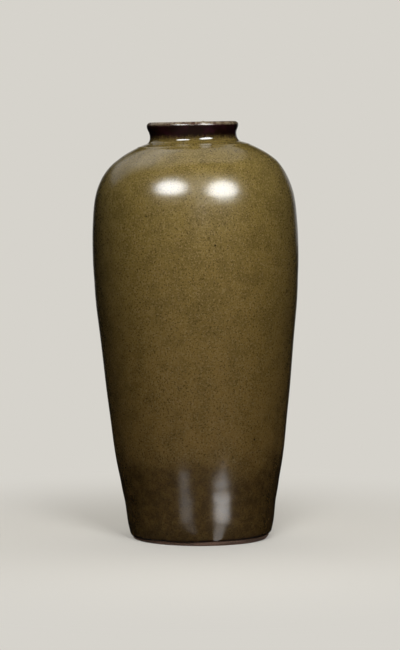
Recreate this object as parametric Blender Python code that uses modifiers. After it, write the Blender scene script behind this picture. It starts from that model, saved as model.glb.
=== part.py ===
"""A stoneware jar with a tea-dust glaze, 300 mm tall.

It is a tall, shouldered jar for flowers or storage. It was thrown as a lower section, a shoulder
section and a collar, which are luted together with slip on a turned foot ring, then glazed inside
and out. The jar leans a little to one side. Its foot is ground level, so it stands at that lean.

Run it with blender --background --python part.py, or from Blender's text editor.
Lengths are in metres, +Z is up, and -Y is the side that the photograph shows.
"""

import math

import bpy
from mathutils import Vector

MM = 0.001

# Heights along the jar's own axis, from the foot's nominal underside
HEIGHT = 300.0 * MM
SHOULDER_TURN_HEIGHT = 272.0 * MM
BELLY_HEIGHT = 207.0 * MM
WAIST_HEIGHT = 140.0 * MM
FOOT_EDGE_HEIGHT = 4.6 * MM

# Outside diameters over the glaze
LIP_DIAMETER = 66.0 * MM
NECK_DIAMETER = 62.7 * MM
SHOULDER_TOP_DIAMETER = 80.9 * MM
SHOULDER_TURN_DIAMETER = 115.9 * MM
BELLY_DIAMETER = 148.2 * MM
FOOT_EDGE_DIAMETER = 102.2 * MM

# How far the outside draws in from the belly to the waist, where the thrown sections are luted
WAIST_INSET = 4.7 * MM

# Slopes of the outside: away from level on the shoulder, away from plumb on the taper
SHOULDER_TOP_SLOPE = math.radians(21.7)
SHOULDER_TURN_SLOPE = math.radians(42.8)
WAIST_TAPER = math.radians(5.7)
FOOT_TAPER = math.radians(11.0)

# Rolled lip and short neck
LIP_OUTER_ROUND = 2.8 * MM
LIP_INNER_ROUND = 2.5 * MM
LIP_DEPTH = 3.9 * MM
LIP_UNDERCUT_ROUND = 2.5 * MM
NECK_FLARE_DEPTH = 4.0 * MM
NECK_FLARE_ROUND = 6.0 * MM
NECK_ROOT_DROP = 13.4 * MM
NECK_ROOT_ROUND = 4.5 * MM

# Clay and glaze thicknesses
BODY_WALL = 5.0 * MM
NECK_WALL = 2.9 * MM
FLOOR_THICKNESS = 7.0 * MM
FLOOR_ROUND = 16.0 * MM
GLAZE = 0.8 * MM
LIP_GLAZE_RUN = 3.0 * MM
GLAZE_ROLL_ROUND = 3.0 * MM
GLAZE_ROLL_TURN = math.radians(45.0)

# Luted joints: slip between two bevelled edges
SLIP = 1.2 * MM
JOINT_BEVEL = 3.0 * MM

# Foot ring, and the glaze in its recess
FOOT_RING_HEIGHT = 9.0 * MM
FOOT_RING_WIDTH = 7.6 * MM
FOOT_CHAMFER_RISE = 1.3 * MM
FOOT_CHAMFER_INSET = 1.0 * MM
BASE_GLAZE_RUN = 3.0 * MM
BASE_GLAZE_ROUND = 1.5 * MM

# Clearance between neighbouring pieces, the lean towards -X, and facets in a full turn
FIT = 0.3 * MM
LEAN = math.radians(1.1)
SEGMENTS = 40

# Depths under a glazed surface: to the clay, and through the whole wall
CLAY_DEPTH = GLAZE + FIT
NECK_DEPTH = 2 * CLAY_DEPTH + NECK_WALL
BODY_DEPTH = 2 * CLAY_DEPTH + BODY_WALL

# The floor's clay rests on the ring, and its glazed top is the inside's lowest height
FLOOR_UNDERSIDE = FOOT_RING_HEIGHT + FIT
FLOOR_TOP = FLOOR_UNDERSIDE + FLOOR_THICKNESS + CLAY_DEPTH

# The foot ring is left this long below the foot, so that the level cut crosses all of it
GRINDING_ALLOWANCE = 0.5 * FOOT_EDGE_DIAMETER * math.tan(LEAN) + 1.0 * MM

# Points nearer than this are one point
MERGE = 0.01 * MM


def material(name, colour, roughness):
    """A plain Principled material; colour is linear RGB."""
    made = bpy.data.materials.new(name)
    made.use_nodes = True
    shader = made.node_tree.nodes["Principled BSDF"]
    shader.inputs["Base Color"].default_value = (*colour, 1.0)
    shader.inputs["Roughness"].default_value = roughness
    shader.inputs["Metallic"].default_value = 0.0
    made.diffuse_color = (*colour, 1.0)
    return made


# An outline is a list of stations. A station is a point (radius, height) on a glazed surface,
# with the unit vector that runs from it straight into the wall.


def downwards(turn):
    """The direction that turns by this angle from straight down towards the axis."""
    return Vector((-math.sin(turn), -math.cos(turn)))


def station(point, direction):
    """A station of a path that runs in direction, with the wall on its right hand."""
    return point, Vector((direction.y, -direction.x)).normalized()


def mirrored(stations):
    """The same path with the wall on its left hand."""
    return [(point, -inward) for point, inward in stations]


def sweep(start, start_direction, end, end_direction, steps, reach=(1 / 3, 1 / 3)):
    """Stations along one Bezier curve. Each handle's reach is a share of the chord."""
    chord = (end - start).length
    corners = (
        start,
        start + start_direction * chord * reach[0],
        end - end_direction * chord * reach[1],
        end,
    )
    stations = []
    for step in range(steps + 1):
        t = step / steps
        u = 1 - t
        weights = (u * u * u, 3 * u * u * t, 3 * u * t * t, t * t * t)
        rates = (-u * u, u * u - 2 * u * t, 2 * u * t - t * t, t * t)
        point = sum((c * w for c, w in zip(corners, weights)), Vector((0.0, 0.0)))
        direction = sum((c * r for c, r in zip(corners, rates)), Vector((0.0, 0.0)))
        stations.append(station(point, direction))
    return stations


def rounded_corner(before, corner, after, radius, steps, room=0.5):
    """Stations round the arc that takes off a corner. It takes up at most this share of a run."""
    back = before - corner
    on = after - corner
    half = back.angle(on) / 2
    radius = min(radius, room * math.tan(half) * min(back.length, on.length))
    back.normalize()
    on.normalize()
    centre = corner + (back + on).normalized() * radius / math.sin(half)
    first = corner + back * radius / math.tan(half) - centre
    last = corner + on * radius / math.tan(half) - centre
    turn = math.atan2(first.x * last.y - first.y * last.x, first.dot(last))
    stations = []
    for step in range(steps + 1):
        angle = turn * step / steps
        arm = Vector((
            first.x * math.cos(angle) - first.y * math.sin(angle),
            first.x * math.sin(angle) + first.y * math.cos(angle),
        ))
        direction = Vector((-arm.y, arm.x)) * math.copysign(1.0, turn)
        stations.append(station(centre + arm, direction))
    return stations


def joined(*runs):
    """One list of stations from runs that follow each other."""
    stations = []
    for run in runs:
        for point, inward in run:
            if not stations or (point - stations[-1][0]).length > MERGE:
                stations.append((point, inward))
    return stations


def cut_at_height(stations, height):
    """The parts of a descending outline above and below a height, with a shared station there."""
    for index in range(1, len(stations)):
        above, below = stations[index - 1], stations[index]
        if above[0].y > height >= below[0].y:
            share = (above[0].y - height) / (above[0].y - below[0].y)
            cut = (above[0].lerp(below[0], share), above[1].lerp(below[1], share).normalized())
            return joined(stations[:index], [cut]), joined([cut], stations[index:])
    raise ValueError("the outline doesn't cross this height")


def under(stations, depth):
    """The stations moved this deep into the wall."""
    return [(point + inward * depth, inward) for point, inward in stations]


def corners_of(stations):
    """The plain points of stations."""
    return [point for point, _ in stations]


def squared_up(stations):
    """The stations with each wall direction square to the chords on both sides of its point."""
    points = corners_of(stations)
    squared = [stations[0]]
    for before, point, after in zip(points, points[1:], points[2:]):
        along = (point - before).normalized() + (after - point).normalized()
        squared.append((point, Vector((-along.y, along.x)).normalized()))
    return [*squared, stations[-1]]


def length_to(line, index):
    """How far along a line of points one of them lies."""
    return sum((stop - start).length for start, stop in zip(line[:index], line[1:]))


def stretch(line, begin, end=math.inf):
    """The part of a line of points between two lengths along it."""
    part = []
    travelled = 0.0
    for start, stop in zip(line, line[1:]):
        run = (stop - start).length
        for mark in (begin, end):
            if travelled <= mark < travelled + run:
                part.append(start.lerp(stop, (mark - travelled) / run))
        travelled += run
        if begin < travelled < end:
            part.append(stop)
    return part


def outer_outline():
    """The glazed outside from the crown of the lip down, as runs of stations."""
    lip_radius = LIP_DIAMETER / 2
    neck_radius = NECK_DIAMETER / 2
    crown = Vector(((lip_radius + neck_radius - NECK_DEPTH) / 2, HEIGHT))
    lip_corner = Vector((lip_radius, HEIGHT))
    undercut = Vector((lip_radius, HEIGHT - LIP_DEPTH))
    flare = Vector((neck_radius, HEIGHT - LIP_DEPTH - NECK_FLARE_DEPTH))
    root = Vector((neck_radius, HEIGHT - NECK_ROOT_DROP))
    shoulder_width = SHOULDER_TOP_DIAMETER / 2 - neck_radius
    shoulder_top = root + Vector((shoulder_width, -shoulder_width * math.tan(SHOULDER_TOP_SLOPE)))
    shoulder_turn = Vector((SHOULDER_TURN_DIAMETER / 2, SHOULDER_TURN_HEIGHT))
    belly = Vector((BELLY_DIAMETER / 2, BELLY_HEIGHT))
    waist = Vector((belly.x - WAIST_INSET, WAIST_HEIGHT))
    foot_edge = Vector((FOOT_EDGE_DIAMETER / 2, FOOT_EDGE_HEIGHT))
    roll_run = GLAZE_ROLL_ROUND * math.tan(GLAZE_ROLL_TURN / 2)
    roll_corner = foot_edge + downwards(FOOT_TAPER) * roll_run
    roll_end = roll_corner + downwards(FOOT_TAPER + GLAZE_ROLL_TURN) * roll_run

    down_shoulder = downwards(SHOULDER_TOP_SLOPE - math.pi / 2)
    down_turn = downwards(SHOULDER_TURN_SLOPE - math.pi / 2)
    plumb = downwards(0.0)
    down_waist = downwards(WAIST_TAPER)
    down_foot = downwards(FOOT_TAPER)
    return {
        "lip": rounded_corner(crown, lip_corner, undercut, LIP_OUTER_ROUND, 3, 0.85),
        "neck": joined(
            rounded_corner(lip_corner, undercut, flare, LIP_UNDERCUT_ROUND, 1, 0.15),
            rounded_corner(undercut, flare, root, NECK_FLARE_ROUND, 2, 0.35),
        ),
        "root": rounded_corner(flare, root, shoulder_top, NECK_ROOT_ROUND, 3, 0.6),
        "brow": sweep(shoulder_top, down_shoulder, shoulder_turn, down_turn, 2),
        "shoulder": sweep(shoulder_turn, down_turn, belly, plumb, 7, (1 / 3, 0.36)),
        "flank": sweep(belly, plumb, waist, down_waist, 3),
        "taper": sweep(waist, down_waist, foot_edge, down_foot, 5),
        "roll": rounded_corner(foot_edge, roll_corner, roll_end, GLAZE_ROLL_ROUND, 3, 1.0),
    }


def inner_outline(outer):
    """The glazed inside from the crown of the lip down to the floor's centre, as runs of stations."""
    bore_radius = NECK_DIAMETER / 2 - NECK_DEPTH
    crown = Vector(((LIP_DIAMETER / 2 + bore_radius) / 2, HEIGHT))
    bore_corner = Vector((bore_radius, HEIGHT))
    bore_end = Vector((bore_radius, outer["root"][0][0].y))

    thickening = joined(outer["root"], outer["brow"])
    wall = []
    for index, (point, inward) in enumerate(thickening):
        share = index / (len(thickening) - 1)
        wall.append((point + inward * (NECK_DEPTH + (BODY_DEPTH - NECK_DEPTH) * share), -inward))
    wall = squared_up(wall)
    runs = {
        "lip": mirrored(rounded_corner(crown, bore_corner, bore_end, LIP_INNER_ROUND, 3, 0.85)),
        "root": wall[:len(outer["root"])],
        "brow": wall[len(outer["root"]):],
    }
    for name in ("shoulder", "flank", "taper"):
        runs[name] = mirrored(under(outer[name], BODY_DEPTH))

    runs["taper"], _ = cut_at_height(runs["taper"], FLOOR_TOP + FLOOR_ROUND)
    wall_foot, outward = runs["taper"][-1]
    floor_edge = Vector((wall_foot.x - FLOOR_ROUND, FLOOR_TOP))
    down_wall = Vector((outward.y, -outward.x))
    towards_axis = Vector((-1.0, 0.0))
    runs["floor"] = mirrored(sweep(wall_foot, down_wall, floor_edge, towards_axis, 4, (0.4, 0.4)))
    runs["floor"].append((Vector((0.0, FLOOR_TOP)), Vector((0.0, -1.0))))
    return runs


def clay_line(runs):
    """The clay's stations under glazed runs, and how far down their line each run begins."""
    stations = []
    firsts = {}
    for name, run in runs.items():
        firsts[name] = len(joined(stations, run[:1])) - 1
        stations = joined(stations, run)
    clay = under(stations, CLAY_DEPTH)
    line = corners_of(clay)
    return clay, {name: length_to(line, first) for name, first in firsts.items()}


def coat(stations, gap_last=True):
    """The section of a glaze coat. A gapped end stops half a clearance short of the next coat."""
    visible = list(stations)
    for end, near, gapped in ((0, 1, True), (-1, -2, gap_last)):
        point, inward = visible[end]
        if gapped:
            back = (visible[near][0] - point).normalized() * FIT / 2
            visible[end] = (point + back, inward)
    return corners_of(visible) + corners_of(under(visible, GLAZE))[::-1]


def turned(name, section, finish, closed=True):
    """A solid turned from its section by a Screw modifier. An open section ends on the axis."""
    mesh = bpy.data.meshes.new(name)
    edges = [(i, i + 1) for i in range(len(section) - 1)]
    if closed:
        edges.append((len(section) - 1, 0))
    mesh.from_pydata([(corner.x, 0.0, corner.y) for corner in section], edges, [])
    mesh.materials.append(finish)
    made = bpy.data.objects.new(name, mesh)
    screw = made.modifiers.new("turning", "SCREW")
    screw.axis = "Z"
    screw.angle = math.tau
    screw.steps = SEGMENTS
    screw.render_steps = SEGMENTS
    screw.use_smooth_shade = True
    screw.use_merge_vertices = True
    screw.merge_threshold = MERGE
    return made


def clay_pieces(outer, inner, clay, slip):
    """The collar, the two thrown sections, and the slip in the bevelled joints between them."""
    outer_clay, outer_begins = clay_line(outer)
    inner_clay, inner_begins = clay_line(inner)
    outside = corners_of(outer_clay)
    inside = corners_of(inner_clay)

    def edge(joint, distance):
        """How far down the outer and the inner line a joint's bevelled edge lies."""
        return outer_begins[joint] + distance, inner_begins[joint] + distance - JOINT_BEVEL

    def wall(top, bottom):
        """The section of the wall between two edges."""
        return stretch(outside, top[0], bottom[0]) + stretch(inside, top[1], bottom[1])[::-1]

    # A joint is named for the run that begins there: brow at the neck, taper at the waist.
    half_slip = SLIP / 2
    clear = half_slip + FIT
    neck_slip = wall(edge("brow", -half_slip), edge("brow", half_slip))
    waist_slip = wall(edge("taper", -half_slip), edge("taper", half_slip))
    collar = wall((0.0, 0.0), edge("brow", -clear))
    shoulder = wall(edge("brow", clear), edge("taper", -clear))
    lower_top, lower_inner_top = edge("taper", clear)
    to_floor = corners_of(cut_at_height(outer_clay, FLOOR_UNDERSIDE)[0])
    lower = [*stretch(inside, lower_inner_top)[::-1], *stretch(to_floor, lower_top)]
    lower.append(Vector((0.0, FLOOR_UNDERSIDE)))
    return [
        turned("neck_collar", collar, clay),
        turned("neck_joint_slip", neck_slip, slip),
        turned("shoulder_section", shoulder, clay),
        turned("waist_joint_slip", waist_slip, slip),
        turned("lower_section", lower, clay, closed=False),
    ]


def foot_ring(outer, clay):
    """The bare ring that the jar stands on, chamfered outside and left long for the level cut."""
    outer_clay, _ = clay_line(outer)
    covered = cut_at_height(outer_clay[:-1], FOOT_RING_HEIGHT)[1]
    band_top = outer_clay[-1][0].y
    band_radius = under(outer["roll"], GLAZE)[-1][0].x - FIT
    chamfer_slope = FOOT_CHAMFER_INSET / FOOT_CHAMFER_RISE
    chamfer_drop = FOOT_CHAMFER_RISE + GRINDING_ALLOWANCE
    inner_radius = band_radius - FOOT_RING_WIDTH
    section = [
        *corners_of(covered),
        Vector((band_radius, band_top)),
        Vector((band_radius, FOOT_CHAMFER_RISE)),
        Vector((band_radius - chamfer_drop * chamfer_slope, -GRINDING_ALLOWANCE)),
        Vector((inner_radius, -GRINDING_ALLOWANCE)),
        Vector((inner_radius, FOOT_RING_HEIGHT)),
    ]
    return turned("foot_ring", section, clay), inner_radius


def base_glaze(recess_radius, finish):
    """The glaze under the floor, which turns a little way down the ring's inner side."""
    radius = recess_radius - FIT
    top = FLOOR_UNDERSIDE - FIT
    under_top = top - GLAZE
    rim = Vector((radius, top - BASE_GLAZE_RUN))
    thin = Vector((radius - GLAZE, rim.y))
    hollow = rounded_corner(
        thin, Vector((thin.x, under_top)), Vector((0.0, under_top)), BASE_GLAZE_ROUND, 2
    )
    section = [Vector((0.0, top)), Vector((radius, top)), rim, thin, *corners_of(hollow)]
    return turned("base_glaze", [*section, Vector((0.0, under_top))], finish, closed=False)


def glaze_coats(outer, inner, tea_dust, neck_brown, lip_pale, inside_brown):
    """The coats of glaze: over the lip, round the neck, down the outside and down the inside."""
    bore = joined(inner["lip"], inner["root"][:1])
    lip_run_end = inner["lip"][-1][0].y - LIP_GLAZE_RUN
    bore_top, bore_rest = cut_at_height(bore, lip_run_end)
    over_lip = joined(bore_top[::-1], outer["lip"])
    round_neck = joined(outer["lip"][-1:], outer["neck"], outer["root"][:1])
    names = ("root", "brow", "shoulder", "flank", "taper", "roll")
    down_outside = joined(*(outer[name] for name in names))
    names = ("root", "brow", "shoulder", "flank", "taper", "floor")
    down_inside = joined(bore_rest, *(inner[name] for name in names))

    # The inside coat's section starts and ends on the axis.
    lining = coat(down_inside, gap_last=False)
    half = len(lining) // 2
    lining = lining[:half][::-1] + lining[half:][::-1]
    return [
        turned("lip_glaze", coat(over_lip), lip_pale),
        turned("neck_glaze_band", coat(round_neck), neck_brown),
        turned("outer_glaze", coat(down_outside, gap_last=False), tea_dust),
        turned("inner_glaze", lining, inside_brown, closed=False),
    ]


def grind_level(ring, cutters):
    """Cut the leaning ring off at the level of the table."""
    bpy.ops.mesh.primitive_cube_add(size=1.0)
    wheel = bpy.context.active_object
    wheel.name = "grinding_wheel"
    depth = 4 * GRINDING_ALLOWANCE
    wheel.dimensions = (2 * FOOT_EDGE_DIAMETER, 2 * FOOT_EDGE_DIAMETER, depth)
    wheel.location = (0.0, 0.0, -depth / 2)
    bpy.ops.object.transform_apply(location=False, rotation=False, scale=True)
    wheel.hide_render = True
    wheel.display_type = "WIRE"
    for collection in wheel.users_collection:
        collection.objects.unlink(wheel)
    cutters.objects.link(wheel)
    cut = ring.modifiers.new("ground_level", "BOOLEAN")
    cut.operation = "DIFFERENCE"
    cut.object = wheel


def main():
    for old in list(bpy.data.objects):
        bpy.data.objects.remove(old, do_unlink=True)
    jar = bpy.data.collections.new("stoneware_jar")
    cutters = bpy.data.collections.new("cutters")
    bpy.context.scene.collection.children.link(jar)
    bpy.context.scene.collection.children.link(cutters)

    bare_clay = material("bare_stoneware", (0.150, 0.085, 0.060), 0.85)
    body_clay = material("stoneware_body", (0.220, 0.145, 0.100), 0.80)
    joint_slip = material("joint_slip", (0.300, 0.220, 0.160), 0.80)
    tea_dust = material("tea_dust_glaze", (0.165, 0.130, 0.050), 0.30)
    neck_brown = material("iron_brown_glaze", (0.020, 0.009, 0.006), 0.22)
    lip_pale = material("thin_lip_glaze", (0.190, 0.150, 0.110), 0.30)
    inside_brown = material("inside_glaze", (0.060, 0.040, 0.020), 0.35)

    outer = outer_outline()
    inner = inner_outline(outer)
    ring, recess_radius = foot_ring(outer, bare_clay)
    pieces = [ring, base_glaze(recess_radius, inside_brown)]
    pieces += clay_pieces(outer, inner, body_clay, joint_slip)
    pieces += glaze_coats(outer, inner, tea_dust, neck_brown, lip_pale, inside_brown)

    # The widest ring of the leaning jar is centred over the origin.
    axis = bpy.data.objects.new("jar_axis", None)
    axis.location = (BELLY_HEIGHT * math.sin(LEAN), 0.0, 0.0)
    axis.rotation_euler = (0.0, -LEAN, 0.0)
    jar.objects.link(axis)
    for piece in pieces:
        jar.objects.link(piece)
        piece.parent = axis
    grind_level(ring, cutters)


main()
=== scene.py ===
"""The looks of a stoneware jar with a tea-dust glaze, laid out as a Blender add-on.

Lengths are in metres, +Z is up, and -Y is the side that the photograph shows. The jar's shape is
worked out in its own frame, with its axis on Z and heights from its foot. It is then leaned towards
-X by the same angle as its construction, which stays inside the glaze.
"""

import math

import bmesh
import bpy
import numpy as np
from bpy.props import FloatProperty, FloatVectorProperty, PointerProperty
from mathutils import Color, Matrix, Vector


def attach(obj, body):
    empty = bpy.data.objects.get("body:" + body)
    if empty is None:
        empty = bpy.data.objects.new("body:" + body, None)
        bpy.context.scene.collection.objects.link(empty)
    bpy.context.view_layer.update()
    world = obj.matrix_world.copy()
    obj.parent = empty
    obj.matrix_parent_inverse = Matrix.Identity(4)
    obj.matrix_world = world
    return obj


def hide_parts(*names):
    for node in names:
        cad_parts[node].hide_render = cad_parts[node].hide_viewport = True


bl_info = {
    "name": "Tea-dust Jar",
    "version": (1, 0, 0),
    "blender": (4, 5, 0),
    "location": "3D Viewport > Sidebar > Jar",
    "description": "Builds the glaze coats, the bare foot and the studio of a stoneware jar",
    "category": "Add Mesh",
}

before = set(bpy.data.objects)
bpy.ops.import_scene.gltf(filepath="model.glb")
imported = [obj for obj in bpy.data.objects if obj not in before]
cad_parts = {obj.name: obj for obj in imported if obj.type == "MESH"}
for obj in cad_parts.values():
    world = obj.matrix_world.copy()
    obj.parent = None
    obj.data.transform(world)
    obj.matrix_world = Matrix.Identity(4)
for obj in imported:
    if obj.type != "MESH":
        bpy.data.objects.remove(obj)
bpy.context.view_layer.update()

MM = 0.001
SEGMENTS = 192

# Stations and mesh points that are nearer than this are one
SAME_STATION = 0.02 * MM
SAME_POINT = 0.001 * MM

# Spacing of the stations at the foot, on plain runs and round corners
FOOT_SPACING = (2 * MM, 0.5 * MM)

# The coats are this share of the CAD glaze in thickness, so they stay clear of the clay, and their
# hidden side has one row of points for this many on the seen side
COAT_SHARE = 0.75
HIDDEN_STEP = 4

# Settings and sockets that nodes share: a smooth range, and a mix of colours
SMOOTH = {"interpolation_type": "SMOOTHSTEP"}
BY_COLOUR = {"data_type": "RGBA"}
FACTOR, FIRST, SECOND, MIXED = 0, 6, 7, 2


def linear(code):
    """Linear RGB of an sRGB hex colour such as #8A7A4C."""
    channels = [int(code[i:i + 2], 16) / 255 for i in (1, 3, 5)]
    return [c / 12.92 if c <= 0.04045 else ((c + 0.055) / 1.055) ** 2.4 for c in channels]


def size(name, millimetres, description):
    """A length that a user can change."""
    return FloatProperty(
        name=name, description=description, default=millimetres * MM, unit="LENGTH", precision=4
    )


def angle(name, degrees, description):
    """An angle that a user can change."""
    return FloatProperty(
        name=name, description=description, default=math.radians(degrees), unit="ROTATION"
    )


def level(name, value, description):
    """A plain number that a user can change."""
    return FloatProperty(name=name, description=description, default=value, precision=3)


def colour(name, code, description):
    """A colour that a user can change, given as sRGB hex."""
    return FloatVectorProperty(
        name=name, description=description, default=linear(code), subtype="COLOR", min=0.0, max=1.0
    )


class JarSizes(bpy.types.PropertyGroup):
    """The outline of the jar and the thickness of its wall."""

    height: size("Height", 300.0, "From the foot to the crown of the lip, along the jar's axis")
    shoulder_turn_height: size("Shoulder height", 272.0, "Where the shoulder turns steep")
    belly_height: size("Belly height", 207.0, "Where the jar is widest")
    waist_height: size("Waist height", 140.0, "Where the thrown sections are luted together")
    foot_edge_height: size("Foot edge height", 4.6, "Where the glaze begins to roll in at the foot")
    lip_diameter: size("Lip diameter", 66.0, "Across the rolled lip")
    neck_diameter: size("Neck diameter", 62.7, "Across the neck at its narrowest")
    shoulder_top_diameter: size("Shoulder top", 80.9, "Across the ridge at the top of the shoulder")
    shoulder_turn_diameter: size("Shoulder turn", 115.9, "Across the shoulder where it turns steep")
    belly_diameter: size("Belly diameter", 148.2, "Across the widest ring")
    foot_edge_diameter: size("Foot edge", 102.2, "Across the glaze at the foot")
    waist_inset: size("Waist inset", 4.7, "How far the side draws in from the belly to the waist")
    shoulder_top_slope: angle("Shoulder top slope", 21.7, "From level, beside the neck")
    shoulder_turn_slope: angle("Shoulder turn slope", 42.8, "From level, where it turns steep")
    waist_taper: angle("Waist taper", 5.7, "From plumb, at the waist")
    foot_taper: angle("Foot taper", 11.0, "From plumb, at the foot")
    lip_outer_round: size("Lip outer round", 2.8, "Radius of the lip's outer edge")
    lip_inner_round: size("Lip inner round", 2.5, "Radius of the lip's inner edge")
    lip_depth: size("Lip depth", 3.9, "Height of the lip's roll")
    lip_undercut_round: size("Lip undercut", 2.5, "Radius under the lip")
    neck_flare_depth: size("Neck flare depth", 4.0, "From the undercut to the plain neck")
    neck_flare_round: size("Neck flare round", 6.0, "Radius where the neck flares to the lip")
    neck_root_drop: size("Neck root drop", 13.4, "From the crown of the lip to the neck's root")
    neck_root_round: size("Neck root round", 4.5, "Radius between neck and shoulder")
    body_wall: size("Body wall", 5.0, "Clay in the body's wall")
    neck_wall: size("Neck wall", 2.9, "Clay in the neck's wall")
    floor_thickness: size("Floor", 7.0, "Clay in the floor")
    floor_round: size("Floor round", 16.0, "Radius inside between wall and floor")
    glaze: size("Glaze", 0.8, "Thickness of a glaze coat")
    lip_glaze_run: size("Lip glaze run", 3.0, "How far the lip's glaze runs down the bore")
    glaze_roll_round: size("Glaze roll", 3.0, "Radius of the glaze's roll at the foot")
    glaze_roll_turn: angle("Glaze roll turn", 45.0, "How far the glaze rolls in at the foot")
    foot_ring_height: size("Foot ring height", 9.0, "Height of the turned foot ring")
    foot_ring_width: size("Foot ring width", 7.6, "Width of the turned foot ring")
    foot_chamfer_rise: size("Foot chamfer rise", 1.3, "Height of the foot's chamfer")
    foot_chamfer_inset: size("Foot chamfer inset", 1.0, "Width of the foot's chamfer")
    base_glaze_run: size("Base glaze run", 3.0, "How far the base glaze runs down the ring")
    base_glaze_round: size("Base glaze round", 1.5, "Radius of the base glaze's hollow corner")
    fit: size("Clearance", 0.3, "Between neighbouring pieces")
    lean: angle("Lean", 1.1, "How far the jar leans to the left")


class JarMaking(bpy.types.PropertyGroup):
    """The marks of the hand on the turned shape."""

    neck_askew: size("Neck askew", 0.6, "How much higher the neck's root is on the right")
    neck_shift: size("Neck shift", 0.45, "How far the neck stands to the left of the axis")
    brow_sink: size("Brow sink", 0.44, "How far the shoulder's top sinks below its curve")
    neck_pinch: size("Neck pinch", 0.25, "How far the neck draws in above its root")
    root_fill: size("Root fill", 0.13, "How far the neck's root swells at its upper end")
    root_corner: size("Root corner", 0.12, "How far the neck's root sinks at its lower end")
    neck_fill: size("Neck fill", 0.6, "How far the hollow of the neck is filled at the front")
    ridge: size("Joint ridge", 0.24, "Height of the ridge where the neck was luted on")
    ridge_width: size("Joint ridge width", 0.65, "Half width of that ridge")
    throwing: size("Throwing lines", 0.012, "Depth of the spiral left outside by throwing")
    throwing_pitch: size("Throwing pitch", 7.5, "Rise of the spiral in one turn")
    neck_lines: size("Neck lines", 0.04, "Depth of the fine lines round the neck")
    neck_line_pitch: size("Neck line pitch", 2.3, "Spacing of the fine lines round the neck")
    inner_throwing: size("Inner throwing lines", 0.25, "Depth of the finger spiral inside")
    inner_throwing_pitch: size("Inner pitch", 9.0, "Rise of the finger spiral in one turn")
    unevenness: size("Unevenness", 0.06, "How far the hand-thrown side wanders from round")
    lip_bead: size("Lip bead", 0.7, "Height of a small bead of glaze on the lip")
    glaze_edge_wander: size("Glaze edge", 0.35, "How far the glaze's lower edge wanders")


class JarFinish(bpy.types.PropertyGroup):
    """Colours and pattern sizes of the glaze and the clay."""

    olive: colour("Olive", "#736432", "Ground of the tea-dust glaze")
    tan: colour("Tan", "#7F6333", "Warmer clouds in the tea-dust glaze")
    dark_speck: colour("Dark specks", "#433313", "Iron specks in the tea-dust glaze")
    light_speck: colour("Light specks", "#907A4E", "Yellow-green crystals in the glaze")
    low_brown: colour("Low brown", "#3D2A12", "Brown mottling towards the foot")
    iron_brown: colour("Iron brown", "#180A06", "Glaze pooled round the neck")
    purple_brown: colour("Purple brown", "#240D12", "Purplish clouds in the neck's glaze")
    lip_grey: colour("Lip grey", "#7D6F58", "Thin glaze over the lip")
    lip_rust: colour("Lip rust", "#43281A", "Clay that shows through on the lip")
    inside_brown: colour("Inside brown", "#3A2C14", "Lining of the jar")
    bare_clay: colour("Bare clay", "#B48C76", "Unglazed foot")
    scorched_clay: colour("Scorched clay", "#2A1512", "Clay flashed dark beside the glaze")
    body_clay: colour("Body clay", "#806A5A", "Clay under the glaze")
    joint_slip: colour("Joint slip", "#9A8672", "Slip in the luted joints")
    body_roughness: level("Body roughness", 0.215, "Of the glaze down the outside and inside")
    brow_roughness: level("Brow roughness", 0.12, "Where the glaze thickens at the shoulder's top")
    neck_roughness: level("Neck roughness", 0.06, "Where the glaze lies thick round the neck")
    lip_roughness: level("Lip roughness", 0.25, "Where the glaze lies thin over the lip")
    speck_size: size("Speck size", 1.0, "Spacing of the glaze's specks")
    cloud_size: size("Cloud size", 11.0, "Spacing of the glaze's clouds")
    low_brown_height: size("Low brown height", 56.5, "Up to where the glaze is mottled brown")
    grog_size: size("Grog size", 0.7, "Spacing of the grains in the bare clay")
    neck_band_edge: size("Neck band edge", 287.2, "Lower edge of the brown glaze round the neck")


class Studio(bpy.types.PropertyGroup):
    """Camera, lamps and background."""

    camera_distance: size("Camera distance", 2130.0, "From the jar's axis, level with the lip")
    camera_height: size("Camera height", 300.0, "Level with the lip")
    camera_side: size("Camera side", 3.2, "How far the camera stands to the right")
    camera_pitch: angle("Camera pitch", 3.93, "How far the camera looks down")
    lens: level("Lens", 164.0, "Focal length in millimetres on a 36 mm long side")
    left_azimuth: angle("Left softbox azimuth", -31.5, "From the camera, to the right")
    right_azimuth: angle("Right softbox azimuth", 34.6, "From the camera, to the right")
    left_elevation: angle("Left softbox elevation", 36.5, "Above the horizon")
    right_elevation: angle("Right softbox elevation", 32.0, "Above the horizon")
    lamp_distance: size("Softbox distance", 1050.0, "From the jar's shoulder")
    lamp_width: angle("Softbox width", 31.5, "As seen from the jar")
    left_height: angle("Left softbox height", 20.5, "As seen from the jar")
    right_height: angle("Right softbox height", 25.0, "As seen from the jar")
    lamp_radiance: level("Softbox radiance", 17.0, "Brightness of the softboxes, where 1 is white")
    front_azimuth: angle("Front light azimuth", 6.0, "From the camera, to the right")
    front_elevation: angle("Front light elevation", 32.0, "Above the horizon")
    front_distance: size("Front light distance", 450.0, "From the jar's shoulder")
    front_width: size("Front light width", 100.0, "Across the front light")
    front_height: size("Front light height", 500.0, "Along the tall front light")
    front_level: level("Front light", 1.21, "Light on a surface that faces it at the shoulder")
    backdrop: colour("Backdrop", "#D6D3CC", "Floor and background")
    mirrored: level("Dark side", 0.006, "Share of the backdrop seen in the gloss at the jar's sides")
    glow: level("Front glow", 0.10, "Share of the backdrop seen in the gloss before the jar")
    ambient: level("Ambient", 0.02, "Light from all round, where 1 is white")
    back_light: level("Back light", 1.7, "Light from behind and above the jar, where 1 is white")


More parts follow.
